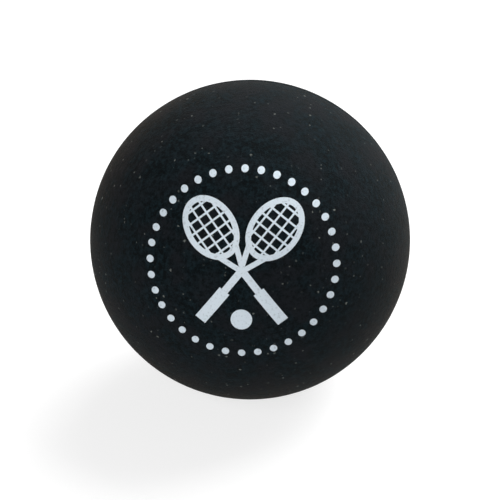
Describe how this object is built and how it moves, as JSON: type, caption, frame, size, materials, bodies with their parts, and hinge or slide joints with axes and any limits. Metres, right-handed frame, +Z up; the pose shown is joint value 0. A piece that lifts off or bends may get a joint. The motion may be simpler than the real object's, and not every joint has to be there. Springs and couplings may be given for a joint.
{
  "type": "squash ball",
  "caption": "Hollow black rubber squash ball of cemented half shells, with a white crossed-rackets print and a yellow speed dot.",
  "frame": {"origin": "centre of the ball", "axes": "+Z up, as the ball lies; the printed pole faces -Y and is tipped 21 degrees above the horizontal; +X is to the right of someone who looks at the print"},
  "size_m": [0.04, 0.04, 0.04],
  "materials": {
    "rubber": "buffed matt black rubber",
    "rubber_cement": "cured black rubber cement",
    "white_ink": "matt cool white flexible ink",
    "yellow_ink": "matt yellow flexible ink"
  },
  "bodies": {
    "root": {"front_half_shell": "rubber", "back_half_shell": "rubber", "seam_bond": "rubber_cement", "front_print": "white_ink", "speed_dot": "yellow_ink"}
  },
  "joints": []
}
